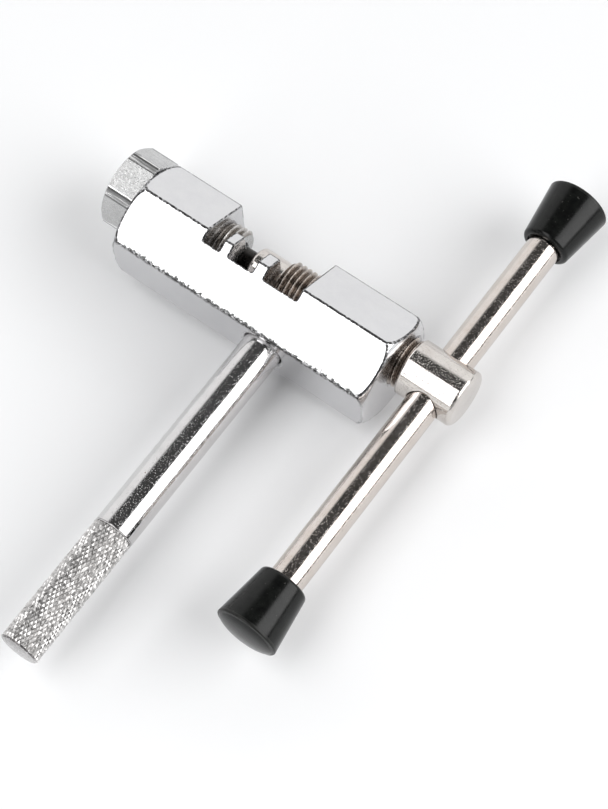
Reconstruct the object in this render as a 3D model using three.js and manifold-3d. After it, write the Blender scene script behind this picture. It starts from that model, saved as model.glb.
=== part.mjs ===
// Bicycle chain tool: a hexagonal body with a milled chain seat, a driver screw with a push pin and a
// sliding cross bar, a hollow adjusting screw that backs the chain, and a round handle.
// Millimetres, +Z up. +X runs along the driver screw towards its head, and the handle points to -Y.
// Shapes are laid out from the point where the handle's axis meets the body's axis. The whole group
// is then moved so that the origin is the middle of the bottom of the tool's box.
import * as THREE from "three";
import { mergeVertices } from "three/addons/utils/BufferGeometryUtils.js";
import Module from "manifold-3d";

// Hexagonal body
const BODY_ACROSS_FLATS = 17;
const BODY_LEFT = -30;
const BODY_RIGHT = 19.6;
const END_ROUND_LENGTH = 2.1;
const END_FACE_RADIUS = 7.7;
const CORNER_ALLOWANCE = 0.1;

// Chain seat: the notch, its floor, the tops of its two teeth and the teeth themselves
const NOTCH_LEFT = -16.1;
const NOTCH_RIGHT = 2.2;
const FLOOR_Y = -1.8;
const NEAR_TOOTH = [-6.4, -4.2];
const FAR_TOOTH = [-12.9, -11.1];

// Threads, drawn as rings one pitch apart
const SCREW_AXIS_Y = 2.83;
const PITCH = 1;
const THREAD_CREST_RADIUS = 4.4;
const THREAD_ROOT_RADIUS = 3.85;
const BORE_RADIUS = 4.5;

// Driver screw and its loose push pin
const NOSE_TIP = -9.8;
const NOSE_RADIUS = 3.5;
const NOSE_ROUND = 0.6;
const DRIVER_THREAD_START = -4;
const HEAD_START = 20.9;
const HEAD_END = 31.5;
const HEAD_RADIUS = 4.9;
const HEAD_ROUND = 1;
const HEAD_BACK_BEVEL = 0.3;
const PIN_TIP = -14.8;
const PIN_END = -2;
const PIN_RADIUS = 2;
const PIN_BEVEL = 0.35;
const PIN_CLEARANCE = 0.05;

// Cross bar and its end caps
const BAR_X = 26.2;
const BAR_RADIUS = 2.88;
const BAR_CLEARANCE = 0.07;
const CAP_INNER_RADIUS = 4.2;
const CAP_OUTER_RADIUS = 5.4;
const CAP_LENGTH = 9.7;
const CAP_DOME = 1.2;
const CAP_ROUND = 0.7;
const CAP_GRIP_DEPTH = 8;
const CAP_SEAT_CLEARANCE = 0.05;
const FRONT_CAP_INNER_Y = -37.9;
const REAR_CAP_INNER_Y = 32.2;

// Handle
const HANDLE_RADIUS = 3.45;
const KNURL_RADIUS = 3.5;
const HANDLE_SEAT_Y = -3.5;
const KNURL_START_Y = -46.9;
const KNURL_END_Y = -69.3;
const HANDLE_TIP_Y = -70.2;
const HANDLE_TIP_RADIUS = 2.6;
const HANDLE_CLEARANCE = 0.05;
const HANDLE_COUNTERSINK = 0.45;

// Hollow adjusting screw
const ANVIL_HEAD_LEFT = -36;
const ANVIL_HEAD_ACROSS_FLATS = 13;
const ANVIL_HEAD_CORNER_RADIUS = 7.25;
const ANVIL_HEAD_BEVEL = 0.5;
const ANVIL_HEAD_ROLL_DEG = -16.6;
const ANVIL_TIP = -12.9;
const ANVIL_BORE_RADIUS = 2.3;

// Clearances and fineness
const GAP = 0.3;
const OVERCUT = 1;
const ROUND_SIDES = 32;
const THREAD_SIDES = 16;
const ARC_STEPS = 4;

const wasm = await Module();
wasm.setup();

// A closed geometry as a manifold solid.
function solidOf(geometry) {
  const bare = geometry.clone();
  bare.deleteAttribute("normal");
  bare.deleteAttribute("uv");
  const merged = mergeVertices(bare, 1e-4);
  const mesh = new wasm.Mesh({
    numProp: 3,
    vertProperties: new Float32Array(merged.attributes.position.array),
    triVerts: new Uint32Array(merged.index.array),
  });
  return new wasm.Manifold(mesh);
}

// A manifold solid as a geometry that three.js can draw.
function geometryOf(solid) {
  const { vertProperties, triVerts } = solid.getMesh();
  const geometry = new THREE.BufferGeometry();
  geometry.setAttribute("position", new THREE.BufferAttribute(vertProperties, 3));
  geometry.setIndex(new THREE.BufferAttribute(triVerts, 1));
  geometry.computeVertexNormals();
  return geometry;
}

// A turned shape about Y, from [radius, y] points that start and end on the axis, lowest first.
function turned(points, sides = ROUND_SIDES) {
  const profile = points.map(([radius, y]) => new THREE.Vector2(radius, y));
  const quarterTurn = Math.PI / 2;
  return new THREE.LatheGeometry(profile, sides, quarterTurn);
}

// The same, laid along X at the height of the screw axis.
function turnedAlongX(points, sides = ROUND_SIDES) {
  return turned(points, sides)
    .rotateZ(-Math.PI / 2)
    .translate(0, SCREW_AXIS_Y, 0);
}

// A plain cylinder as profile points.
function straight(radius, from, to) {
  return [
    [0, from],
    [radius, from],
    [radius, to],
    [0, to],
  ];
}

// Points on a quarter ellipse round (centreR, centreY), from one angle to another in degrees.
function arc(centreR, centreY, sizeR, sizeY, fromDeg, toDeg) {
  return Array.from({ length: ARC_STEPS + 1 }, (_, step) => {
    const angle = THREE.MathUtils.degToRad(fromDeg + ((toDeg - fromDeg) * step) / ARC_STEPS);
    return [centreR + sizeR * Math.cos(angle), centreY + sizeY * Math.sin(angle)];
  });
}

// A threaded rod along X with its own flat ends: V-shaped rings, one for each whole pitch.
function threadedRod(from, to) {
  const rings = Math.floor((to - from) / PITCH);
  const points = [
    [0, from],
    [THREAD_ROOT_RADIUS, from],
  ];
  for (let ring = 0; ring < rings; ring += 1) {
    points.push([THREAD_CREST_RADIUS, from + (ring + 0.5) * PITCH]);
    points.push([THREAD_ROOT_RADIUS, from + (ring + 1) * PITCH]);
  }
  points.push([THREAD_ROOT_RADIUS, to], [0, to]);
  return turnedAlongX(points, THREAD_SIDES);
}

// A hexagonal bar along X, centred on the body's axis with two corners at +Z and -Z.
function hexBar(acrossFlats, from, to) {
  const cornerRadius = acrossFlats / Math.sqrt(3);
  const outline = new THREE.Shape();
  for (let corner = 0; corner < 6; corner += 1) {
    const angle = (corner * Math.PI) / 3;
    const point = [cornerRadius * Math.cos(angle), cornerRadius * Math.sin(angle)];
    if (corner === 0) outline.moveTo(...point);
    else outline.lineTo(...point);
  }
  outline.closePath();
  return new THREE.ExtrudeGeometry(outline, { depth: to - from, bevelEnabled: false })
    .rotateY(Math.PI / 2)
    .translate(from, 0, 0);
}

// A box between two corners.
function boxBetween(low, high) {
  const size = high.map((value, axis) => value - low[axis]);
  const middle = high.map((value, axis) => (value + low[axis]) / 2);
  return new THREE.BoxGeometry(...size).translate(...middle);
}

function named(name, geometry, material) {
  const mesh = new THREE.Mesh(geometry, material);
  mesh.name = name;
  return mesh;
}

// The body: a hexagonal bar with turned ends, the chain seat, the threaded bore and the handle's hole.
function makeBody() {
  const cornerRadius = BODY_ACROSS_FLATS / Math.sqrt(3) + CORNER_ALLOWANCE;
  const roundDepth = cornerRadius - END_FACE_RADIUS;
  const turnedEnds = [
    [0, BODY_LEFT],
    ...arc(END_FACE_RADIUS, BODY_LEFT + END_ROUND_LENGTH, roundDepth, END_ROUND_LENGTH, -90, 0),
    ...arc(END_FACE_RADIUS, BODY_RIGHT - END_ROUND_LENGTH, roundDepth, END_ROUND_LENGTH, 0, 90),
    [0, BODY_RIGHT],
  ];
  const envelope = turned(turnedEnds).rotateZ(-Math.PI / 2);
  const reach = BODY_ACROSS_FLATS;
  const openAbove = (left, right, floor) => boxBetween([left, floor, -reach], [right, reach, reach]);
  const cuts = [
    openAbove(NOTCH_LEFT, NOTCH_RIGHT, SCREW_AXIS_Y),
    openAbove(NOTCH_LEFT, FAR_TOOTH[0], FLOOR_Y),
    openAbove(FAR_TOOTH[1], NEAR_TOOTH[0], FLOOR_Y),
    openAbove(NEAR_TOOTH[1], NOTCH_RIGHT, FLOOR_Y),
    turnedAlongX(straight(BORE_RADIUS, BODY_LEFT - OVERCUT, BODY_RIGHT + OVERCUT)),
    turned(handleHolePoints()),
  ];
  const blank = solidOf(hexBar(BODY_ACROSS_FLATS, BODY_LEFT, BODY_RIGHT));
  const start = blank.intersect(solidOf(envelope));
  const cutBody = cuts.reduce((body, cut) => body.subtract(solidOf(cut)), start);
  const material = new THREE.MeshStandardMaterial({ color: 0xe6e7ea, roughness: 0.16, metalness: 1 });
  return named("hex_body", geometryOf(cutBody), material);
}

// The handle's blind hole, with a small countersink at its mouth.
function handleHolePoints() {
  const mouth = -BODY_ACROSS_FLATS / 2;
  const radius = HANDLE_RADIUS + HANDLE_CLEARANCE;
  return [
    [0, mouth - OVERCUT],
    [radius + HANDLE_COUNTERSINK + OVERCUT, mouth - OVERCUT],
    [radius, mouth + HANDLE_COUNTERSINK],
    [radius, HANDLE_SEAT_Y],
    [0, HANDLE_SEAT_Y],
  ];
}

// The handle: a plain rod whose outer third is knurled, with a slightly domed tip.
function makeHandle() {
  const points = [
    [0, HANDLE_TIP_Y],
    [HANDLE_TIP_RADIUS, HANDLE_TIP_Y + GAP],
    [KNURL_RADIUS, KNURL_END_Y],
    [KNURL_RADIUS, KNURL_START_Y],
    [HANDLE_RADIUS, KNURL_START_Y + GAP],
    [HANDLE_RADIUS, HANDLE_SEAT_Y - GAP],
    [0, HANDLE_SEAT_Y - GAP],
  ];
  const material = new THREE.MeshStandardMaterial({ color: 0xdcdcde, roughness: 0.14, metalness: 1 });
  return named("handle_rod", turned(points), material);
}

// The driver screw: plain nose, thread and round head, with a socket for the pin and a cross hole.
function makeDriverScrew() {
  const headRim = arc(HEAD_RADIUS - HEAD_ROUND, HEAD_END - HEAD_ROUND, HEAD_ROUND, HEAD_ROUND, 0, 90);
  const core = [
    [0, NOSE_TIP],
    ...arc(NOSE_RADIUS - NOSE_ROUND, NOSE_TIP + NOSE_ROUND, NOSE_ROUND, NOSE_ROUND, -90, 0),
    [NOSE_RADIUS, HEAD_START],
    [HEAD_RADIUS - HEAD_BACK_BEVEL, HEAD_START],
    [HEAD_RADIUS, HEAD_START + HEAD_BACK_BEVEL],
    ...headRim,
    [0, HEAD_END],
  ];
  const socket = straight(PIN_RADIUS + PIN_CLEARANCE, NOSE_TIP - OVERCUT, PIN_END + GAP);
  const crossHole = straight(BAR_RADIUS + BAR_CLEARANCE, -2 * HEAD_RADIUS, 2 * HEAD_RADIUS);
  const crossCut = turned(crossHole).translate(BAR_X, SCREW_AXIS_Y, 0);
  const screw = solidOf(turnedAlongX(core))
    .add(solidOf(threadedRod(DRIVER_THREAD_START, HEAD_START + GAP)))
    .subtract(solidOf(turnedAlongX(socket)))
    .subtract(solidOf(crossCut));
  const material = new THREE.MeshStandardMaterial({ color: 0xcfc8bf, roughness: 0.22, metalness: 1 });
  return named("driver_screw", geometryOf(screw), material);
}

// The push pin: loose in the nose's socket, with its tip in the mouth of the adjusting screw.
function makeDriverPin() {
  const points = [
    [0, PIN_TIP],
    [PIN_RADIUS - PIN_BEVEL, PIN_TIP],
    [PIN_RADIUS, PIN_TIP + PIN_BEVEL],
    [PIN_RADIUS, PIN_END - PIN_BEVEL],
    [PIN_RADIUS - PIN_BEVEL, PIN_END],
    [0, PIN_END],
  ];
  const material = new THREE.MeshStandardMaterial({ color: 0x2b2a2a, roughness: 0.35, metalness: 0.9 });
  return named("driver_pin", turnedAlongX(points), material);
}

// The sliding cross bar, which runs into both caps.
function makeCrossBar() {
  const from = FRONT_CAP_INNER_Y - CAP_GRIP_DEPTH + GAP;
  const to = REAR_CAP_INNER_Y + CAP_GRIP_DEPTH - GAP;
  const material = new THREE.MeshStandardMaterial({ color: 0xd8d1ca, roughness: 0.15, metalness: 1 });
  const bar = turned(straight(BAR_RADIUS, from, to)).translate(BAR_X, 0, 0);
  return named("t_bar", bar, material);
}

// A tapered cap with a domed end and a blind hole for the bar. outward is -1 or +1 along Y.
function makeCap(name, innerY, outward) {
  const rimY = CAP_LENGTH;
  const seatRadius = BAR_RADIUS + CAP_SEAT_CLEARANCE;
  const innerRim = arc(CAP_INNER_RADIUS - CAP_ROUND, CAP_ROUND, CAP_ROUND, CAP_ROUND, -90, 0);
  const dome = arc(0, rimY, CAP_OUTER_RADIUS, CAP_DOME, 0, 90);
  const points = [
    [0, CAP_GRIP_DEPTH],
    [seatRadius, CAP_GRIP_DEPTH],
    [seatRadius, 0],
    ...innerRim,
    ...dome,
  ];
  const cap = turned(points);
  if (outward < 0) cap.rotateX(Math.PI);
  cap.translate(BAR_X, innerY, 0);
  const material = new THREE.MeshStandardMaterial({ color: 0x141516, roughness: 0.3, metalness: 0 });
  return named(name, cap, material);
}

// The hollow adjusting screw: a hexagonal head with bevelled corners and a threaded shank.
function makeAnvilScrew() {
  const headRight = BODY_LEFT - GAP;
  const bevelled = [
    [0, ANVIL_HEAD_LEFT],
    [ANVIL_HEAD_CORNER_RADIUS - ANVIL_HEAD_BEVEL, ANVIL_HEAD_LEFT],
    [ANVIL_HEAD_CORNER_RADIUS, ANVIL_HEAD_LEFT + ANVIL_HEAD_BEVEL],
    [ANVIL_HEAD_CORNER_RADIUS, headRight - ANVIL_HEAD_BEVEL],
    [ANVIL_HEAD_CORNER_RADIUS - ANVIL_HEAD_BEVEL, headRight],
    [0, headRight],
  ];
  const hexagon = hexBar(ANVIL_HEAD_ACROSS_FLATS, ANVIL_HEAD_LEFT, headRight)
    .rotateX(THREE.MathUtils.degToRad(ANVIL_HEAD_ROLL_DEG))
    .translate(0, SCREW_AXIS_Y, 0);
  const hollow = straight(ANVIL_BORE_RADIUS, ANVIL_HEAD_LEFT - OVERCUT, ANVIL_TIP + OVERCUT);
  const screw = solidOf(hexagon)
    .intersect(solidOf(turnedAlongX(bevelled)))
    .add(solidOf(threadedRod(headRight - GAP, ANVIL_TIP)))
    .subtract(solidOf(turnedAlongX(hollow)));
  const material = new THREE.MeshStandardMaterial({ color: 0xdfe0e2, roughness: 0.25, metalness: 1 });
  return named("anvil_screw", geometryOf(screw), material);
}

const tool = new THREE.Group();
tool.add(
  makeBody(),
  makeHandle(),
  makeDriverScrew(),
  makeDriverPin(),
  makeCrossBar(),
  makeCap("t_bar_cap_front", FRONT_CAP_INNER_Y, -1),
  makeCap("t_bar_cap_rear", REAR_CAP_INNER_Y, 1),
  makeAnvilScrew(),
);

// The origin goes to the middle of the bottom of the tool's box.
const box = new THREE.Box3().setFromObject(tool, true);
const centre = box.getCenter(new THREE.Vector3());
tool.position.set(-centre.x, -centre.y, -box.min.z);

export default tool;
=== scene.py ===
"""Studio scene of a bicycle chain tool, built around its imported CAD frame.

Meshes are laid out in millimetres from the point where the handle's axis meets the body's axis, with
+X along the driver screw, the handle to -Y and +Z up, and are then scaled into the frame's metres.
"""

import math
import random

import bmesh
import bpy
from mathutils import Matrix, Vector


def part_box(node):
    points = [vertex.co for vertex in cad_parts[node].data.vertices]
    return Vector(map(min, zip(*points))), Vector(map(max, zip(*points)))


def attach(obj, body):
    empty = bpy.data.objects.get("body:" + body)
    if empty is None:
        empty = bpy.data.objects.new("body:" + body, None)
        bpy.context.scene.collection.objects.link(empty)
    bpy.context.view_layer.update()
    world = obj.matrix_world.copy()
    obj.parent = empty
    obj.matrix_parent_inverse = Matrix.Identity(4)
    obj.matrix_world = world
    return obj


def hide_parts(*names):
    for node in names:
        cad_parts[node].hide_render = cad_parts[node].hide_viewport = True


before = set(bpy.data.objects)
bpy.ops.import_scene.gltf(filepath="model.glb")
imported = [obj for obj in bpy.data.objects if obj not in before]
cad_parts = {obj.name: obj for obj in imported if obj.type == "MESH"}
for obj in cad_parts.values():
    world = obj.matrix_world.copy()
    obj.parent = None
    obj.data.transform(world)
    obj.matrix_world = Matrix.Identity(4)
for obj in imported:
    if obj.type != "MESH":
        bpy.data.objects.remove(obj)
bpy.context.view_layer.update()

MM = 0.001
FULL_TURN = 2 * math.pi

# Material slots: a piece has its main finish in slot 0, its worn edges in slot 1 and its threads in
# slot 2. On the metal pieces the edges and the handle's tip get painted shade where they face up, and
# threads and knurling get painted shade in their grooves. The handle has its knurling in slot 1 and its
# rubbed tip in slot 2.
EDGE_SLOT, KNURL_SLOT = 1, 1
THREAD_SLOT, TIP_SLOT = 2, 2


def place_of_origin():
    """The point where the handle's axis meets the body's axis, in the row frame."""
    body_low, body_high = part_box("hex_body")
    handle_low, handle_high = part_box("handle_rod")
    middle = (body_low + body_high) / 2
    return Vector(((handle_low.x + handle_high.x) / 2, middle.y, middle.z))


ORIGIN = place_of_origin()


def span(node, axis):
    """A CAD node's lowest and highest place along one axis, in millimetres from ORIGIN."""
    low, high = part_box(node)
    return (low[axis] - ORIGIN[axis]) / MM, (high[axis] - ORIGIN[axis]) / MM


def radius_of(node, axis):
    """Half of a CAD node's width across one axis, in millimetres."""
    low, high = span(node, axis)
    return (high - low) / 2


# INSET keeps the outermost faces just inside the CAD box. A cutter stands SKIN or OVERCUT proud of
# what it cuts.
INSET = 0.002
SKIN = 0.01
OVERCUT = 1

# Sizes that the frame gives
BODY_LEFT, BODY_RIGHT = span("hex_body", 0)
BODY_HALF_FLATS = radius_of("hex_body", 1)
ANVIL_LEFT, ANVIL_TIP = span("anvil_screw", 0)
ANVIL_LEFT += INSET
NOSE_TIP, HEAD_END = span("driver_screw", 0)
HEAD_RADIUS = radius_of("driver_screw", 2)
PIN_TIP, PIN_END = span("driver_pin", 0)
PIN_RADIUS = radius_of("driver_pin", 2)
SCREW_AXIS_Y = sum(span("driver_pin", 1)) / 2
BAR_X = sum(span("t_bar", 0)) / 2
BAR_RADIUS = radius_of("t_bar", 0)
BAR_FRONT, BAR_REAR = span("t_bar", 1)
CAP_RADIUS = radius_of("t_bar_cap_front", 0)
FRONT_CAP_TIP, FRONT_CAP_INNER = span("t_bar_cap_front", 1)
REAR_CAP_INNER, REAR_CAP_TIP = span("t_bar_cap_rear", 1)
HANDLE_TIP, HANDLE_SEAT = span("handle_rod", 1)
HANDLE_TIP += INSET
KNURL_RADIUS = radius_of("handle_rod", 0) - 0.01

# Chain seat
NOTCH_LEFT, NOTCH_RIGHT = -16.1, 2.2
FAR_TOOTH = (-12.9, -11.1)
NEAR_TOOTH = (-6.4, -4.2)
FLOOR_Y = -1.8
TOOTH_TOP_Y = SCREW_AXIS_Y

# Body finish
END_ROUND_LENGTH = 2.1
END_FACE_RADIUS = 7.7
CORNER_ALLOWANCE = 0.1
CORNER_ROUND = 0.45
EDGE_WIDTH = 0.28
BORE_MOUTH_RADIUS, BORE_MOUTH_DEPTH = 4.95, 0.9
HANDLE_HOLE_CLEARANCE = 0.04
COUNTERSINK_WIDTH, COUNTERSINK_DEPTH = 1.4, 0.4

# Threads
PITCH = 1.0
CREST_RADIUS, ROOT_RADIUS = 4.38, 3.85
TAPPED_CREST_RADIUS, TAPPED_ROOT_RADIUS = 4.56, 4.02

# Driver screw
NOSE_RADIUS = 3.48
THREAD_START = -4.0
HEAD_START = 20.9
HEAD_ROUND = 0.9
HEAD_EDGE_WIDTH = 0.12
SOCKET_RADIUS = PIN_RADIUS + 0.06
CROSS_HOLE_RADIUS = BAR_RADIUS + 0.09

# Handle
ROD_RADIUS = 3.44
KNURL_START, KNURL_END = -46.9, -69.6
KNURL_DEPTH = 0.25
KNURL_STARTS = 32
KNURL_HELIX = math.radians(27)
KNURL_TOP = 0.12
KNURL_SEED, KNURL_UNEVEN, KNURL_CRUSH = 7, 0.28, 0.09

# Caps
CAP_LENGTH, CAP_DOME = 9.7, 1.2
CAP_INNER_RADIUS, CAP_SHOULDER = 4.2, 0.7

# Adjusting screw
ANVIL_FLATS = 13.0
ANVIL_CORNER_RADIUS = 7.22
ANVIL_ROLL = math.radians(-16.6)
ANVIL_BORE_RADIUS = 2.3
ANVIL_CORNER_ROUND, ANVIL_RIDGE = 1.9, 0.12


# ---------------------------------------------------------------- mesh helpers

def object_from(bm, name):
    """A new object that holds the bmesh, with doubled points merged and faces turned outwards."""
    bmesh.ops.remove_doubles(bm, verts=bm.verts, dist=1e-3)
    bmesh.ops.dissolve_degenerate(bm, dist=1e-4, edges=bm.edges)
    bmesh.ops.recalc_face_normals(bm, faces=bm.faces)
    mesh = bpy.data.meshes.new(name)
    for _ in range(THREAD_SLOT + 1):
        mesh.materials.append(None)
    bm.to_mesh(mesh)
    bm.free()
    obj = bpy.data.objects.new(name, mesh)
    bpy.context.scene.collection.objects.link(obj)
    return obj


def apply_modifiers(obj):
    """Bakes the object's modifiers into its mesh."""
    bpy.context.view_layer.update()
    graph = bpy.context.evaluated_depsgraph_get()
    finished = bpy.data.meshes.new_from_object(obj.evaluated_get(graph))
    obj.modifiers.clear()
    obj.data = finished
    return obj


def boolean(obj, other, operation):
    """Cuts obj with other, or keeps what they share, and drops other."""
    step = obj.modifiers.new("step", "BOOLEAN")
    step.operation = operation
    step.object = other
    step.solver = "EXACT"
    apply_modifiers(obj)
    bpy.data.objects.remove(other)
    return obj


def soften_edges(obj, width, segments=2, angle=32):
    """Rounds every sharp edge a little, with flat faces left looking flat."""
    weld = obj.modifiers.new("weld", "WELD")
    weld.merge_threshold = 0.02
    bevel = obj.modifiers.new("bevel", "BEVEL")
    bevel.width = width
    bevel.segments = segments
    bevel.limit_method = "ANGLE"
    bevel.angle_limit = math.radians(angle)
    bevel.miter_outer = "MITER_ARC"
    bevel.use_clamp_overlap = False
    bevel.material = EDGE_SLOT
    return apply_modifiers(obj)


def shade(obj, angle=35):
    """Smooth shading, with flat faces kept flat and edges sharper than angle left crisp."""
    for polygon in obj.data.polygons:
        polygon.use_smooth = True
    obj.data.set_sharp_from_angle(angle=math.radians(angle))
    normals = obj.modifiers.new("normals", "WEIGHTED_NORMAL")
    normals.weight = 90
    normals.keep_sharp = True
    return apply_modifiers(obj)


def use_slot(obj, index):
    """Puts every face of the object in one material slot."""
    for polygon in obj.data.polygons:
        polygon.material_index = index
    return obj


def slot_between(obj, axis, low, high, slot=EDGE_SLOT):
    """Puts the faces whose middles lie between two places along an axis in one material slot."""
    for polygon in obj.data.polygons:
        if low <= polygon.center[axis] <= high:
            polygon.material_index = slot
    return obj


def seat(obj, materials, body, node):
    """Scales a finished piece into the frame, and makes it ride and stand for its CAD node."""
    obj.data.transform(Matrix.Translation(ORIGIN) @ Matrix.Scale(MM, 4))
    places = [polygon.material_index for polygon in obj.data.polygons]
    obj.data.materials.clear()
    for material in materials:
        obj.data.materials.append(material)
    for polygon, place_in_list in zip(obj.data.polygons, places):
        polygon.material_index = min(place_in_list, len(materials) - 1)
    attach(obj, body)
    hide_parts(node)
    return obj


def along_x(station, radius, angle):
    """A point on a shape turned about the screw axis."""
    return Vector((station, SCREW_AXIS_Y + radius * math.cos(angle), radius * math.sin(angle)))


def along_y(centre_x):
    """A function that gives points on a shape turned about a line along Y."""
    def point(station, radius, angle):
        return Vector((centre_x + radius * math.sin(angle), station, radius * math.cos(angle)))
    return point


def about_body(station, radius, angle):
    """A point on a shape turned about the hexagon's own axis."""
    return Vector((station, radius * math.cos(angle), radius * math.sin(angle)))


def add_turned(bm, profile, point, sides):
    """Adds the surface that (station, radius) points sweep. A radius of 0 is a pole."""
    rings = []
    for station, radius in profile:
        if radius == 0:
            rings.append([bm.verts.new(point(station, 0, 0))])
            continue
        rings.append([
            bm.verts.new(point(station, radius, FULL_TURN * side / sides)) for side in range(sides)
        ])
    for lower, upper in zip(rings, rings[1:]):
        for side in range(sides):
            after = (side + 1) % sides
            corners = [
                lower[side % len(lower)],
                lower[after % len(lower)],
                upper[after % len(upper)],
                upper[side % len(upper)],
            ]
            unique = list(dict.fromkeys(corners))
            if len(unique) > 2:
                bm.faces.new(unique)


def turned(name, profile, point, sides=96):
    bm = bmesh.new()
    add_turned(bm, profile, point, sides)
    return object_from(bm, name)


def arc(station, radius, size_station, size_radius, start_deg, end_deg, steps=6):
    """(station, radius) points on a quarter ellipse. 0 degrees points outwards, 90 along the axis."""
    points = []
    for step in range(steps + 1):
        angle = math.radians(start_deg + (end_deg - start_deg) * step / steps)
        points.append((
            station + size_station * math.sin(angle),
            radius + size_radius * math.cos(angle),
        ))
    return points


def cylinder(radius, start, end):
    return [(start, 0), (start, radius), (end, radius), (end, 0)]


def add_thread(bm, start, end, root, crest, sides=72):
    """Adds a right-hand thread between two flat ends, where it runs out to its root radius."""
    shape = [(0.0, 0.0), (0.12, 0.05), (0.42, 0.95), (0.5, 1.0), (0.58, 0.95), (0.88, 0.05)]
    rows = len(shape)

    def corner(row, side):
        turn, step = divmod(row, rows)
        phase, height = shape[step]
        free = math.floor(start) - PITCH + (turn + phase + side / sides) * PITCH
        station = min(max(free, start), end)
        lead = min(station - start, end - station)
        radius = root + min(height * (crest - root), max(lead, 0))
        return bm.verts.new(along_x(station, radius, FULL_TURN * side / sides))

    count = rows * (math.ceil((end - start) / PITCH) + 3)
    grid = [[corner(row, side) for side in range(sides + 1)] for row in range(count + 1)]
    for row in range(count):
        for side in range(sides):
            bm.faces.new((
                grid[row][side], grid[row][side + 1], grid[row + 1][side + 1], grid[row + 1][side],
            ))
    bmesh.ops.remove_doubles(bm, verts=bm.verts, dist=1e-3)


def add_hexagon(bm, half_flats, start, end, roll, centre_y, corner_round, corner_steps=4, ridge=0):
    """Adds a hexagonal bar along X. Its long corners are rounded, and drawn into fine ridges."""
    inner_corner = half_flats * 2 / math.sqrt(3) - corner_round * 2 / math.sqrt(3)
    outline = []
    for corner in range(6):
        middle = corner * math.pi / 3 + math.pi / 2 + roll
        for step in range(corner_steps + 1):
            angle = middle + (step / corner_steps - 0.5) * math.pi / 3
            radius = corner_round - ridge * (step % 2)
            outline.append((
                centre_y + inner_corner * math.cos(middle) + radius * math.cos(angle),
                inner_corner * math.sin(middle) + radius * math.sin(angle),
            ))
    left = [bm.verts.new((start, y, z)) for y, z in outline]
    right = [bm.verts.new((end, y, z)) for y, z in outline]
    for index in range(len(outline)):
        after = (index + 1) % len(outline)
        face = bm.faces.new((left[index], left[after], right[after], right[index]))
        on_corner = index % (corner_steps + 1) < corner_steps
        face.material_index = EDGE_SLOT if on_corner else 0
    bm.faces.new(left)
    bm.faces.new(right)


def box_object(low, high):
    bm = bmesh.new()
    bmesh.ops.create_cube(bm, size=1)
    for vertex in bm.verts:
        vertex.co = Vector(
            low[axis] + (vertex.co[axis] + 0.5) * (high[axis] - low[axis]) for axis in range(3)
        )
    return object_from(bm, "box")


def join(first, *others):
    """Moves the other objects' faces into the first one's mesh."""
    bm = bmesh.new()
    for obj in (first, *others):
        bm.from_mesh(obj.data)
    bm.to_mesh(first.data)
    bm.free()
    for obj in others:
        bpy.data.objects.remove(obj)
    return first


# ---------------------------------------------------------------- materials

def new_material(name):
    material = bpy.data.materials.new(name)
    material.use_nodes = True
    tree = material.node_tree
    return material, tree, tree.nodes["Principled BSDF"]


def place(tree, stretch=(1, 1, 1)):
    """Object coordinates in millimetres, stretched along each axis."""
    coordinate = tree.nodes.new("ShaderNodeTexCoord")
    mapping = tree.nodes.new("ShaderNodeMapping")
    mapping.inputs["Scale"].default_value = [value / MM for value in stretch]
    tree.links.new(coordinate.outputs["Object"], mapping.inputs["Vector"])
    return mapping.outputs["Vector"]


def noise(tree, vector, scale, detail=2.0, roughness=0.5):
    node = tree.nodes.new("ShaderNodeTexNoise")
    node.inputs["Scale"].default_value = scale
    node.inputs["Detail"].default_value = detail
    node.inputs["Roughness"].default_value = roughness
    tree.links.new(vector, node.inputs["Vector"])
    return node.outputs["Fac"]


def remap(tree, value, from_low, from_high, to_low, to_high):
    node = tree.nodes.new("ShaderNodeMapRange")
    node.inputs["From Min"].default_value = from_low
    node.inputs["From Max"].default_value = from_high
    node.inputs["To Min"].default_value = to_low
    node.inputs["To Max"].default_value = to_high
    tree.links.new(value, node.inputs["Value"])
    return node.outputs["Result"]


def maths(tree, operation, *values):
    """A math node on values that are numbers or other nodes' outputs."""
    node = tree.nodes.new("ShaderNodeMath")
    node.operation = operation
    for socket, value in zip(node.inputs, values):
        if isinstance(value, (int, float)):
            socket.default_value = value
        else:
            tree.links.new(value, socket)
    return node.outputs["Value"]


def blend_colours(tree, factor, first, second):
    node = tree.nodes.new("ShaderNodeMix")
    node.data_type = "RGBA"
    tree.links.new(factor, node.inputs["Factor"])
    colour_sockets = [socket for socket in node.inputs if socket.type == "RGBA"]
    for socket, value in zip(colour_sockets, (first, second)):
        if isinstance(value, tuple):
            socket.default_value = (*value, 1)
        else:
            tree.links.new(value, socket)
    return next(socket for socket in node.outputs if socket.type == "RGBA")


def bump(tree, height, strength, distance, before=None):
    node = tree.nodes.new("ShaderNodeBump")
    node.inputs["Strength"].default_value = strength
    node.inputs["Distance"].default_value = distance * MM
    tree.links.new(height, node.inputs["Height"])
    if before is not None:
        tree.links.new(before, node.inputs["Normal"])
    return node.outputs["Normal"]


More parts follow.
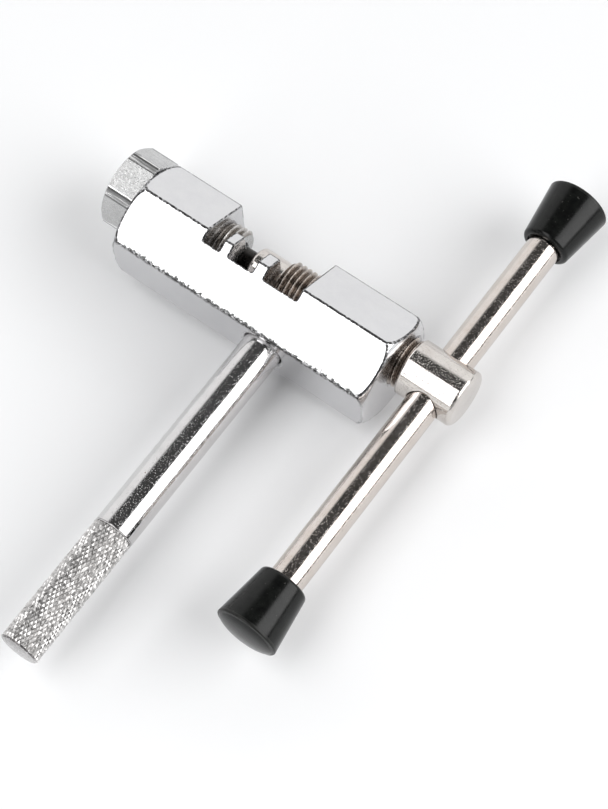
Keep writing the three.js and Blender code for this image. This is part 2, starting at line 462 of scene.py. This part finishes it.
def plated(name, colour, dull, roughness, pitting, brushing, brushed, pit_size=0.2, pit_level=0.54,
           spots=0.0):
    """Plated metal: uneven gloss, dull patches, pits, brushing marks and, with spots, brown stains.

    pitting is how deep the pits look, pit_size their size in millimetres, and a higher pit_level
    leaves fewer of them. brushing stretches the marks along each axis, and brushed is their depth.
    """
    material, tree, shader = new_material(name)
    shader.inputs["Metallic"].default_value = 1.0
    even = place(tree)
    patches = noise(tree, even, 0.35, 4.0, 0.6)
    tint = blend_colours(tree, remap(tree, patches, 0.35, 0.75, 0.0, 1.0), colour, dull)
    if spots:
        specks = noise(tree, even, 1.1, 3.0, 0.65)
        stain = remap(tree, specks, 0.70, 0.76, 0.0, spots)
        tint = blend_colours(tree, stain, tint, RUST)
    tree.links.new(tint, shader.inputs["Base Color"])
    grain = noise(tree, even, 2.2, 3.0, 0.6)
    gloss = remap(tree, grain, 0.3, 0.7, roughness * 0.75, roughness * 1.3)
    tree.links.new(gloss, shader.inputs["Roughness"])
    pits = noise(tree, even, 1 / pit_size, 1.0, 0.4)
    pits = remap(tree, pits, pit_level, pit_level + 0.12, 1.0, 0.0)
    normal = bump(tree, pits, pitting, 0.2 * pit_size)
    lines = noise(tree, place(tree, brushing), 1.0, 3.0, 0.6)
    normal = bump(tree, lines, brushed, 0.01, normal)
    tree.links.new(normal, shader.inputs["Normal"])
    return material


def distance_from_axis(tree, through, across):
    """The distance in millimetres from a line through a point, across the axes marked 1."""
    coordinate = tree.nodes.new("ShaderNodeTexCoord")
    mapping = tree.nodes.new("ShaderNodeMapping")
    mapping.inputs["Scale"].default_value = [axis / MM for axis in across]
    mapping.inputs["Location"].default_value = [
        -axis * place_on_axis / MM for axis, place_on_axis in zip(across, through)
    ]
    length = tree.nodes.new("ShaderNodeVectorMath")
    length.operation = "LENGTH"
    tree.links.new(coordinate.outputs["Object"], mapping.inputs["Vector"])
    tree.links.new(mapping.outputs["Vector"], length.inputs[0])
    return length.outputs["Value"]


def add_grime(material, through):
    """Adds a ragged dark line of wear along an edge that runs along X through a point."""
    tree = material.node_tree
    shader = tree.nodes["Principled BSDF"]
    unmarked = shader.inputs["Base Color"].links[0].from_socket
    ragged = maths(tree, "MULTIPLY", noise(tree, place(tree), 1.6, 4.0, 0.7), 2.4)
    reach = maths(tree, "ADD", distance_from_axis(tree, through, (0, 1, 1)), ragged)
    worn = remap(tree, reach, 1.56, 1.74, 1.0, 0.0)
    tint = blend_colours(tree, worn, unmarked, (0.07, 0.07, 0.07))
    tree.links.new(tint, shader.inputs["Base Color"])


def worn_edge_with_painted_shade(name, colour, dark, stretch=(1, 1, 1)):
    """The rubbed edge of a plated part: small pits, darkened as painted shade where the edge faces up.
    """
    material, tree, shader = new_material(name)
    shader.inputs["Metallic"].default_value = 1.0
    pits = noise(tree, place(tree, stretch), 2.4, 3.0, 0.7)
    split = tree.nodes.new("ShaderNodeSeparateXYZ")
    geometry = tree.nodes.new("ShaderNodeNewGeometry")
    tree.links.new(geometry.outputs["Normal"], split.inputs["Vector"])
    # Painted shade: the pits are darkened only where the surface faces up.
    faces_up = remap(tree, split.outputs["Z"], 0.05, 0.35, 0.0, 1.0)
    pits_and_painted_shade = maths(tree, "MULTIPLY", faces_up, remap(tree, pits, 0.40, 0.50, 0.0, 1.0))
    tint = blend_colours(tree, pits_and_painted_shade, colour, dark)
    tree.links.new(tint, shader.inputs["Base Color"])
    tree.links.new(remap(tree, pits, 0.4, 0.6, 0.16, 0.42), shader.inputs["Roughness"])
    tree.links.new(bump(tree, pits, 0.35, 0.04), shader.inputs["Normal"])
    return material


def cut_metal(name, crest, root, radii, through, across, roughness):
    """Threads and knurling: bright crests, and grooves darkened as painted shade, unevenly by a dirt
    noise.
    """
    material, tree, shader = new_material(name)
    shader.inputs["Metallic"].default_value = 1.0
    even = place(tree)
    # Painted shade: the colour goes dark towards the roots of the grooves, by distance from the axis.
    height = remap(tree, distance_from_axis(tree, through, across), radii[0], radii[1], 0.0, 1.0)
    dirt_and_shade = noise(tree, even, 1.4, 4.0, 0.65)
    unmarked = maths(tree, "MULTIPLY", height, remap(tree, dirt_and_shade, 0.35, 0.65, 0.55, 1.25))
    tree.links.new(blend_colours(tree, unmarked, root, crest), shader.inputs["Base Color"])
    gloss = remap(tree, dirt_and_shade, 0.3, 0.7, roughness * 0.7, roughness * 1.5)
    tree.links.new(gloss, shader.inputs["Roughness"])
    tree.links.new(bump(tree, noise(tree, even, 4.0, 2.0), 0.15, 0.03), shader.inputs["Normal"])
    return material


def black_plastic(name, dark, light, glossy, matt):
    """Moulded black plastic with a faint mottle, handling marks and a few dusty specks."""
    material, tree, shader = new_material(name)
    even = place(tree)
    mottle = noise(tree, even, 0.6, 4.0, 0.6)
    tint = blend_colours(tree, remap(tree, mottle, 0.35, 0.7, 0.0, 1.0), dark, light)
    dust = remap(tree, noise(tree, even, 1.7, 2.0, 0.6), 0.70, 0.76, 0.0, 0.7)
    tint = blend_colours(tree, dust, tint, (0.06, 0.06, 0.055))
    tree.links.new(tint, shader.inputs["Base Color"])
    grain = noise(tree, even, 2.5, 3.0, 0.6)
    tree.links.new(remap(tree, grain, 0.3, 0.7, glossy, matt), shader.inputs["Roughness"])
    shader.inputs["IOR"].default_value = 1.32
    dents = noise(tree, even, 1.3, 3.0, 0.5)
    tree.links.new(bump(tree, dents, 0.12, 0.05), shader.inputs["Normal"])
    return material


RUST = (0.22, 0.13, 0.09)
LOWER_FRONT_EDGE = (0, ORIGIN.y - BODY_HALF_FLATS * MM, ORIGIN.z + BODY_HALF_FLATS * MM / math.sqrt(3))
SCREW_AXIS = (0, ORIGIN.y + SCREW_AXIS_Y * MM, ORIGIN.z)
ACROSS_X, ACROSS_Y = (0, 1, 1), (1, 0, 1)
THREAD_RADII = (ROOT_RADIUS - 0.05, CREST_RADIUS)
TAPPED_RADII = (TAPPED_CREST_RADIUS, TAPPED_ROOT_RADIUS)
KNURL_RADII = (KNURL_RADIUS - KNURL_DEPTH, KNURL_RADIUS)

CHROME = plated(
    "body_chrome",
    colour=(0.67, 0.67, 0.68),
    dull=(0.64, 0.64, 0.655),
    roughness=0.10,
    pitting=0.30,
    pit_size=0.12,
    brushing=(0.15, 4, 4),
    brushed=0.05,
)
add_grime(CHROME, LOWER_FRONT_EDGE)
HANDLE_CHROME = plated(
    "handle_chrome",
    colour=(0.66, 0.65, 0.65),
    dull=(0.60, 0.59, 0.59),
    roughness=0.06,
    pitting=0.32,
    pit_level=0.60,
    brushing=(4, 0.15, 4),
    brushed=0.60,
    spots=0.8,
)
SCREW_NICKEL = plated(
    "screw_nickel",
    colour=(0.66, 0.63, 0.60),
    dull=(0.59, 0.55, 0.52),
    roughness=0.05,
    pitting=0.60,
    pit_size=0.21,
    pit_level=0.60,
    brushing=(5, 0.4, 0.4),
    brushed=0.05,
)
BAR_NICKEL = plated(
    "bar_nickel",
    colour=(0.65, 0.60, 0.565),
    dull=(0.59, 0.53, 0.485),
    roughness=0.06,
    pitting=0.32,
    pit_level=0.60,
    brushing=(4, 0.15, 4),
    brushed=0.60,
)
ANVIL_CHROME = plated(
    "anvil_chrome",
    colour=(0.60, 0.60, 0.60),
    dull=(0.48, 0.48, 0.48),
    roughness=0.26,
    pitting=0.7,
    pit_size=0.13,
    brushing=(0.6, 6, 6),
    brushed=0.90,
)
PIN_STEEL = plated(
    "pin_steel",
    colour=(0.045, 0.042, 0.040),
    dull=(0.02, 0.019, 0.018),
    roughness=0.30,
    pitting=0.10,
    brushing=(5, 0.5, 0.5),
    brushed=0.20,
)
# The edge materials below are worn, and their pits carry painted shade where the edge faces up.
CHROME_EDGE = worn_edge_with_painted_shade("body_edge", (0.60, 0.60, 0.61), (0.06, 0.06, 0.06))
HANDLE_EDGE = worn_edge_with_painted_shade("handle_edge", (0.52, 0.51, 0.51), (0.16, 0.15, 0.15))
SCREW_EDGE = worn_edge_with_painted_shade("screw_edge", (0.66, 0.62, 0.58), (0.10, 0.08, 0.07))
PIN_EDGE = worn_edge_with_painted_shade("pin_edge", (0.16, 0.15, 0.14), (0.04, 0.037, 0.035))
ANVIL_EDGE = worn_edge_with_painted_shade(
    "anvil_edge", (0.80, 0.80, 0.80), (0.22, 0.22, 0.22), stretch=(0.05, 1.0, 1.0)
)
CAP_PLASTIC = black_plastic(
    "cap_plastic", dark=(0.003, 0.0032, 0.0032), light=(0.008, 0.009, 0.008), glossy=0.14, matt=0.26
)
CAP_EDGE = black_plastic(
    "cap_edge", dark=(0.006, 0.0064, 0.006), light=(0.022, 0.023, 0.021), glossy=0.24, matt=0.42
)
# The root colours of the cut materials below are painted shade in the grooves.
SCREW_THREAD = cut_metal(
    "screw_thread",
    crest=(0.64, 0.58, 0.53),
    root=(0.12, 0.09, 0.07),
    radii=THREAD_RADII,
    through=SCREW_AXIS,
    across=ACROSS_X,
    roughness=0.22,
)
ANVIL_THREAD = cut_metal(
    "anvil_thread",
    crest=(0.66, 0.64, 0.62),
    root=(0.16, 0.14, 0.12),
    radii=THREAD_RADII,
    through=SCREW_AXIS,
    across=ACROSS_X,
    roughness=0.22,
)
BORE_THREAD = cut_metal(
    "bore_thread",
    crest=(0.62, 0.57, 0.53),
    root=(0.24, 0.20, 0.17),
    radii=TAPPED_RADII,
    through=SCREW_AXIS,
    across=ACROSS_X,
    roughness=0.42,
)
KNURL_STEEL = cut_metal(
    "knurl_steel",
    crest=(0.86, 0.85, 0.84),
    root=(0.42, 0.41, 0.405),
    radii=KNURL_RADII,
    through=ORIGIN,
    across=ACROSS_Y,
    roughness=0.30,
)


# ---------------------------------------------------------------- pieces

def make_body():
    """The hexagonal bar: turned ends, chain seat, tapped bore and handle hole; its rubbed edges and
    bore grooves get painted shade.
    """
    bm = bmesh.new()
    add_hexagon(bm, BODY_HALF_FLATS, BODY_LEFT, BODY_RIGHT, 0, 0, CORNER_ROUND)
    body = object_from(bm, "hex_body_machined")
    corner_radius = BODY_HALF_FLATS * 2 / math.sqrt(3) + CORNER_ALLOWANCE
    depth = corner_radius - END_FACE_RADIUS
    left, right = BODY_LEFT + END_ROUND_LENGTH, BODY_RIGHT - END_ROUND_LENGTH
    envelope = [
        (BODY_LEFT - SKIN, 0),
        *arc(left, END_FACE_RADIUS, END_ROUND_LENGTH, depth, -90, 0, 10),
        *arc(right, END_FACE_RADIUS, END_ROUND_LENGTH, depth, 0, 90, 10),
        (BODY_RIGHT + SKIN, 0),
    ]
    boolean(body, turned("envelope", envelope, about_body, 160), "INTERSECT")
    reach = 2 * BODY_HALF_FLATS
    slots = (
        (NOTCH_LEFT, NOTCH_RIGHT, TOOTH_TOP_Y),
        (NOTCH_LEFT, FAR_TOOTH[0], FLOOR_Y),
        (FAR_TOOTH[1], NEAR_TOOTH[0], FLOOR_Y),
        (NEAR_TOOTH[1], NOTCH_RIGHT, FLOOR_Y),
    )
    for slot_left, slot_right, floor in slots:
        boolean(body, box_object((slot_left, floor, -reach), (slot_right, reach, reach)), "DIFFERENCE")
    hole = ROD_RADIUS + HANDLE_HOLE_CLEARANCE
    handle_hole = [
        (-BODY_HALF_FLATS - OVERCUT, 0),
        (-BODY_HALF_FLATS - OVERCUT, hole + COUNTERSINK_WIDTH),
        (-BODY_HALF_FLATS + COUNTERSINK_DEPTH, hole),
        (HANDLE_SEAT, hole),
        (HANDLE_SEAT, 0),
    ]
    boolean(body, turned("handle_hole", handle_hole, along_y(0), 96), "DIFFERENCE")
    soften_edges(body, EDGE_WIDTH)
    bm = bmesh.new()
    tap_left, tap_right = BODY_LEFT - 3 * OVERCUT, BODY_RIGHT + 3 * OVERCUT
    add_turned(bm, [(tap_left, 0), (tap_left, TAPPED_ROOT_RADIUS)], along_x, 72)
    add_thread(bm, tap_left, tap_right, TAPPED_ROOT_RADIUS, TAPPED_CREST_RADIUS)
    add_turned(bm, [(tap_right, TAPPED_ROOT_RADIUS), (tap_right, 0)], along_x, 72)
    boolean(body, use_slot(object_from(bm, "tap"), THREAD_SLOT), "DIFFERENCE")
    for face_x, outward in ((BODY_LEFT, -1), (BODY_RIGHT, 1)):
        bottom = face_x - outward * BORE_MOUTH_DEPTH
        outside = face_x + outward * (1.0 - BORE_MOUTH_DEPTH)
        mouth = [
            (bottom, 0),
            (bottom, BORE_MOUTH_RADIUS - 1.0),
            (outside, BORE_MOUTH_RADIUS),
            (outside, 0),
        ]
        boolean(body, turned("mouth", mouth, along_x, 72), "DIFFERENCE")
    shade(body, 40)
    return seat(body, (CHROME, CHROME_EDGE, BORE_THREAD), "frame", "hex_body")


def add_knurl(bm, start, end):
    """Adds a diamond knurl along -Y: uneven small pyramids between two sets of helical grooves."""
    columns = 2 * KNURL_STARTS
    half_pitch = FULL_TURN * KNURL_RADIUS / columns
    wanted = half_pitch / math.tan(KNURL_HELIX)
    rows = 2 * round((start - end) / wanted / 2)
    row_length = (start - end) / rows
    groove = KNURL_RADIUS - KNURL_DEPTH
    point = along_y(0)
    chance = random.Random(KNURL_SEED)

    def at(row, column, radius):
        return bm.verts.new(point(start - row * row_length, radius, FULL_TURN * column / columns))

    for row in range(rows + 1):
        for column in range(columns):
            if (row + column) % 2 == 0:
                continue
            up, down = max(row - 1, 0), min(row + 1, rows)
            corners = [(up, column), (row, column + 1), (down, column), (row, column - 1)]
            outer = [at(*corner, groove) for corner in corners]
            on_end = row in (0, rows)
            top_row = row if on_end else row + chance.uniform(-KNURL_UNEVEN, KNURL_UNEVEN)
            top_column = column + chance.uniform(-KNURL_UNEVEN, KNURL_UNEVEN)
            top_radius = KNURL_RADIUS - chance.uniform(0.0, KNURL_CRUSH)
            top = [
                at(top_row + (r - row) * KNURL_TOP, top_column + (c - column) * KNURL_TOP, top_radius)
                for r, c in corners
            ]
            for index in range(4):
                after = (index + 1) % 4
                bm.faces.new((outer[index], outer[after], top[after], top[index]))
            bm.faces.new(top)


def make_handle():
    """The handle: a polished rod, its knurled grip and its slightly domed tip."""
    seat_bevel = 0.3
    shoulder = 0.25
    core = ROD_RADIUS - KNURL_DEPTH - 0.05
    rod = turned("handle_rod_knurled", [
        (HANDLE_SEAT - seat_bevel, 0),
        (HANDLE_SEAT - seat_bevel, ROD_RADIUS - seat_bevel),
        (HANDLE_SEAT - 2 * seat_bevel, ROD_RADIUS),
        (KNURL_START + 0.1 + shoulder, ROD_RADIUS),
        *arc(KNURL_START + 0.1, ROD_RADIUS - shoulder, shoulder, shoulder, 90, 0, 3)[1:],
        (KNURL_START, core),
        (KNURL_END, core),
        (KNURL_END, ROD_RADIUS - 0.12),
        *arc(KNURL_END - 0.02, ROD_RADIUS - 0.42, -0.3, 0.3, 0, 70, 5),
        *arc(HANDLE_TIP + 0.35, 0, -0.35, ROD_RADIUS - 0.55, 20, 90, 6)[:-1],
        (HANDLE_TIP, 0),
    ], along_y(0), 96)
    shade(rod, 40)
    slot_between(rod, 1, HANDLE_TIP, KNURL_END - 0.01, TIP_SLOT)
    bm = bmesh.new()
    add_knurl(bm, KNURL_START, KNURL_END)
    join(rod, use_slot(object_from(bm, "knurl"), KNURL_SLOT))
    return seat(rod, (HANDLE_CHROME, KNURL_STEEL, HANDLE_EDGE), "frame", "handle_rod")


def make_driver_screw():
    """The driver screw: plain nose with a socket, thread, and a round cross-drilled head."""
    bm = bmesh.new()
    neck_end = HEAD_START + 0.4
    nose_round = 0.6
    socket_end = PIN_END + 0.3
    lip = 0.15
    add_turned(bm, [
        (socket_end, 0),
        (socket_end, SOCKET_RADIUS),
        (NOSE_TIP + lip, SOCKET_RADIUS),
        (NOSE_TIP, SOCKET_RADIUS + lip),
        *arc(NOSE_TIP + nose_round, NOSE_RADIUS - nose_round, -nose_round, nose_round, 90, 0),
        (THREAD_START - 0.35, NOSE_RADIUS),
        (THREAD_START, ROOT_RADIUS),
    ], along_x, 72)
    nose = shade(object_from(bm, "nose"), 50)
    bm = bmesh.new()
    add_thread(bm, THREAD_START, neck_end, ROOT_RADIUS, CREST_RADIUS)
    add_turned(bm, [(neck_end, ROOT_RADIUS), (neck_end, 0)], along_x, 72)
    shank = use_slot(object_from(bm, "shank"), THREAD_SLOT)
    shade(shank, 50)
    back = 0.35
    head_profile = [
        (HEAD_START, 0),
        (HEAD_START, HEAD_RADIUS - back),
        *arc(HEAD_START + back, HEAD_RADIUS - back, -back, back, 90, 0, 4)[1:],
        *arc(HEAD_END - HEAD_ROUND, HEAD_RADIUS - HEAD_ROUND, HEAD_ROUND - 0.12, HEAD_ROUND, 0, 82),
        (HEAD_END - 0.04, HEAD_RADIUS * 0.45),
        (HEAD_END, 0),
    ]
    head = turned("driver_screw_turned", head_profile, along_x, 128)
    reach = 2 * HEAD_RADIUS
    hole = cylinder(CROSS_HOLE_RADIUS, SCREW_AXIS_Y - reach, SCREW_AXIS_Y + reach)
    boolean(head, turned("hole", hole, along_y(BAR_X), 96), "DIFFERENCE")
    soften_edges(head, HEAD_EDGE_WIDTH, angle=45)
    shade(head, 40)
    join(head, shank, nose)
    materials = (SCREW_NICKEL, SCREW_EDGE, SCREW_THREAD)
    return seat(head, materials, "driver", "driver_screw")


def make_driver_pin():
    """The hardened push pin, with a rounded working tip."""
    tip_round, end_bevel = 0.35, 0.2
    pin = turned("driver_pin_ground", [
        (PIN_TIP, 0),
        *arc(PIN_TIP + tip_round, PIN_RADIUS - tip_round, -tip_round, tip_round, 90, 0, 5),
        (PIN_END - end_bevel, PIN_RADIUS),
        (PIN_END, PIN_RADIUS - end_bevel),
        (PIN_END, 0),
    ], along_x, 64)
    shade(pin, 40)
    slot_between(pin, 0, PIN_TIP + 0.02, PIN_TIP + tip_round)
    return seat(pin, (PIN_STEEL, PIN_EDGE), "push_pin", "driver_pin")


def make_cross_bar():
    bevel = 0.4
    bar = turned("cross_bar_polished", [
        (BAR_FRONT, 0),
        (BAR_FRONT, BAR_RADIUS - bevel),
        (BAR_FRONT + bevel, BAR_RADIUS),
        (BAR_REAR - bevel, BAR_RADIUS),
        (BAR_REAR, BAR_RADIUS - bevel),
        (BAR_REAR, 0),
    ], along_y(BAR_X), 128)
    shade(bar, 40)
    slot_between(bar, 1, BAR_FRONT + 0.01, BAR_FRONT + bevel)
    slot_between(bar, 1, BAR_REAR - bevel, BAR_REAR - 0.01)
    return seat(bar, (BAR_NICKEL, SCREW_EDGE), "cross_bar", "t_bar")


def make_cap(node, inner, tip):
    """A tapered moulded cap: recessed mouth, rounded shoulder, crisp rim and domed end."""
    outward = math.copysign(1, tip - inner)
    seat_radius = BAR_RADIUS + 0.04
    lip = 0.25
    rim_round = 0.3
    taper = (CAP_RADIUS - CAP_INNER_RADIUS) / (CAP_LENGTH - CAP_SHOULDER)
    rim_start = CAP_LENGTH - rim_round
    local = [
        (8.0, 0),
        (8.0, seat_radius),
        (0.6, seat_radius),
        (0.45, seat_radius + lip),
        (0.12, seat_radius + lip),
        *arc(0.12, seat_radius + lip + 0.12, -0.12, -0.12, 0, 90, 3)[1:],
        *arc(CAP_SHOULDER, CAP_INNER_RADIUS - CAP_SHOULDER, -CAP_SHOULDER, CAP_SHOULDER, 90, 0, 7),
        (rim_start, CAP_RADIUS - taper * rim_round),
        *arc(CAP_LENGTH, CAP_RADIUS - rim_round, rim_round, rim_round, -20, 55, 5),
        *arc(CAP_LENGTH + 0.1, 0, CAP_DOME - 0.1 - INSET, CAP_RADIUS - 0.32, 12, 90, 12)[:-1],
        (CAP_LENGTH + CAP_DOME - INSET, 0),
    ]
    profile = [(inner + outward * station, radius) for station, radius in local]
    cap = turned(node + "_moulded", profile, along_y(BAR_X), 96)
    shade(cap, 55)
    worn = sorted((inner + outward * rim_start, inner + outward * (CAP_LENGTH + rim_round)))
    slot_between(cap, 1, *worn)
    return seat(cap, (CAP_PLASTIC, CAP_EDGE), "cross_bar", node)


def make_anvil_screw():
    """The hollow adjusting screw: a hexagonal head with bevelled corners and a threaded shank."""
    head_right = BODY_LEFT - 0.1
    bm = bmesh.new()
    add_hexagon(
        bm, ANVIL_FLATS / 2, ANVIL_LEFT, head_right, ANVIL_ROLL, SCREW_AXIS_Y,
        ANVIL_CORNER_ROUND, corner_steps=8, ridge=ANVIL_RIDGE,
    )
    head = object_from(bm, "anvil_screw_turned")
    bevel, step = 0.75, 0.45
    envelope = [
        (ANVIL_LEFT - SKIN, 0),
        (ANVIL_LEFT - SKIN, ANVIL_CORNER_RADIUS - bevel),
        (ANVIL_LEFT + step, ANVIL_CORNER_RADIUS),
        (head_right - step, ANVIL_CORNER_RADIUS),
        (head_right + SKIN, ANVIL_CORNER_RADIUS - bevel),
        (head_right + SKIN, 0),
    ]
    boolean(head, turned("envelope", envelope, along_x, 96), "INTERSECT")
    drilled = cylinder(ANVIL_BORE_RADIUS, ANVIL_LEFT - OVERCUT, head_right + OVERCUT)
    boolean(head, turned("drill", drilled, along_x, 64), "DIFFERENCE")
    soften_edges(head, HEAD_EDGE_WIDTH, angle=70)
    shade(head, 40)
    bm = bmesh.new()
    back = head_right - 0.4
    inner = ANVIL_BORE_RADIUS + 0.02
    add_turned(bm, [(back, inner), (back, ROOT_RADIUS)], along_x, 72)
    add_thread(bm, back, ANVIL_TIP, ROOT_RADIUS, CREST_RADIUS)
    shank = use_slot(object_from(bm, "shank"), THREAD_SLOT)
    shade(shank, 50)
    tip = turned("tip", [
        (ANVIL_TIP, ROOT_RADIUS),
        (ANVIL_TIP, ANVIL_BORE_RADIUS + 0.25),
        (ANVIL_TIP - 0.25, inner),
        (back, inner),
    ], along_x, 72)
    shade(tip, 50)
    join(head, shank, tip)
    materials = (ANVIL_CHROME, ANVIL_EDGE, ANVIL_THREAD)
    return seat(head, materials, "anvil", "anvil_screw")


make_body()
make_handle()
make_driver_screw()
make_driver_pin()
make_cross_bar()
make_cap("t_bar_cap_front", FRONT_CAP_INNER, FRONT_CAP_TIP)
make_cap("t_bar_cap_rear", REAR_CAP_INNER, REAR_CAP_TIP)
make_anvil_screw()


# ---------------------------------------------------------------- studio

SOFTBOX_STRENGTH = 9.0
DARK_CEILING, LIGHT_WALL = 0.07, 1.12
FLOOR_HALF_WIDTH = 3
FLOOR_GAP = 0.0002
CAMERA_HEADING, CAMERA_ELEVATION, CAMERA_ROLL = -40.04, 65.56, -4.21
CAMERA_DISTANCE = 0.3907
CAMERA_LENS = 111.2
CAMERA_TARGET = ORIGIN + Vector((11.08, -12.33, 0)) * MM


def make_floor():
    """A plain sheet of pale paper, just under the tool."""
    bm = bmesh.new()
    bmesh.ops.create_grid(bm, x_segments=1, y_segments=1, size=FLOOR_HALF_WIDTH)
    floor = object_from(bm, "floor")
    floor.location.z = -FLOOR_GAP
    material, tree, shader = new_material("floor_paper")
    shader.inputs["Roughness"].default_value = 0.9
    shader.inputs["Specular IOR Level"].default_value = 0.1
    grain = noise(tree, place(tree), 0.02, 3.0)
    tint = blend_colours(tree, grain, (0.90, 0.904, 0.912), (0.92, 0.924, 0.932))
    tree.links.new(tint, shader.inputs["Base Color"])
    floor.data.materials.clear()
    floor.data.materials.append(material)


def make_softbox(name, centre, target, width, height):
    """A rectangular light of even brightness, which faces target."""
    light = bpy.data.lights.new(name, "AREA")
    light.shape = "RECTANGLE"
    light.size = width
    light.size_y = height
    light.energy = SOFTBOX_STRENGTH * width * height
    obj = bpy.data.objects.new(name, light)
    obj.location = centre
    obj.rotation_euler = (Vector(target) - Vector(centre)).to_track_quat("-Z", "Y").to_euler()
    obj.visible_camera = False
    bpy.context.scene.collection.objects.link(obj)


def make_world():
    """Light walls, a dark ceiling that comes down lower at the front, and a dark strip on the right."""
    world = bpy.data.worlds.new("studio")
    world.use_nodes = True
    tree = world.node_tree
    coordinate = tree.nodes.new("ShaderNodeTexCoord")
    split = tree.nodes.new("ShaderNodeSeparateXYZ")
    tree.links.new(coordinate.outputs["Generated"], split.inputs["Vector"])
    right, rear, up = split.outputs
    forward = maths(tree, "MINIMUM", rear, 0.0)
    ceiling = remap(tree, maths(tree, "SUBTRACT", up, forward), 0.66, 0.80, 0.0, 1.0)
    above_wall = remap(tree, up, 0.22, 0.36, 0.0, 1.0)
    overhead = maths(tree, "MULTIPLY", ceiling, above_wall)
    low_strip = maths(
        tree, "MULTIPLY", remap(tree, up, 0.0, 0.02, 0.0, 1.0), remap(tree, up, 0.19, 0.21, 1.0, 0.0)
    )
    strip = maths(tree, "MULTIPLY", low_strip, remap(tree, right, 0.2, 0.35, 0.0, 0.85))
    shaded = maths(tree, "MAXIMUM", overhead, strip)
    level = remap(tree, shaded, 0.0, 1.0, LIGHT_WALL, DARK_CEILING)
    tree.links.new(level, tree.nodes["Background"].inputs["Color"])
    bpy.context.scene.world = world


def make_camera():
    """The camera looks down at the tool from over the handle's side."""
    heading, elevation = math.radians(CAMERA_HEADING), math.radians(CAMERA_ELEVATION)
    forward = Vector((
        math.sin(heading) * math.cos(elevation),
        math.cos(heading) * math.cos(elevation),
        -math.sin(elevation),
    ))
    data = bpy.data.cameras.new("camera")
    data.lens = CAMERA_LENS
    data.sensor_width = 36
    data.clip_start = 0.01
    camera = bpy.data.objects.new("camera", data)
    camera.matrix_world = (
        Matrix.Translation(CAMERA_TARGET - forward * CAMERA_DISTANCE)
        @ forward.to_track_quat("-Z", "Y").to_matrix().to_4x4()
        @ Matrix.Rotation(math.radians(CAMERA_ROLL), 4, "Z")
    )
    bpy.context.scene.collection.objects.link(camera)
    bpy.context.scene.camera = camera


make_floor()
make_softbox("softbox_front", (-0.2, -0.93, 0.62), (-0.2, -0.93, 0.0), 0.42, 1.8)
make_softbox("softbox_right", (0.605, 0.3, 0.42), (0.045, 0.3, 0.0), 0.81, 0.68)
make_world()
make_camera()
bpy.context.scene.view_settings.view_transform = "Standard"
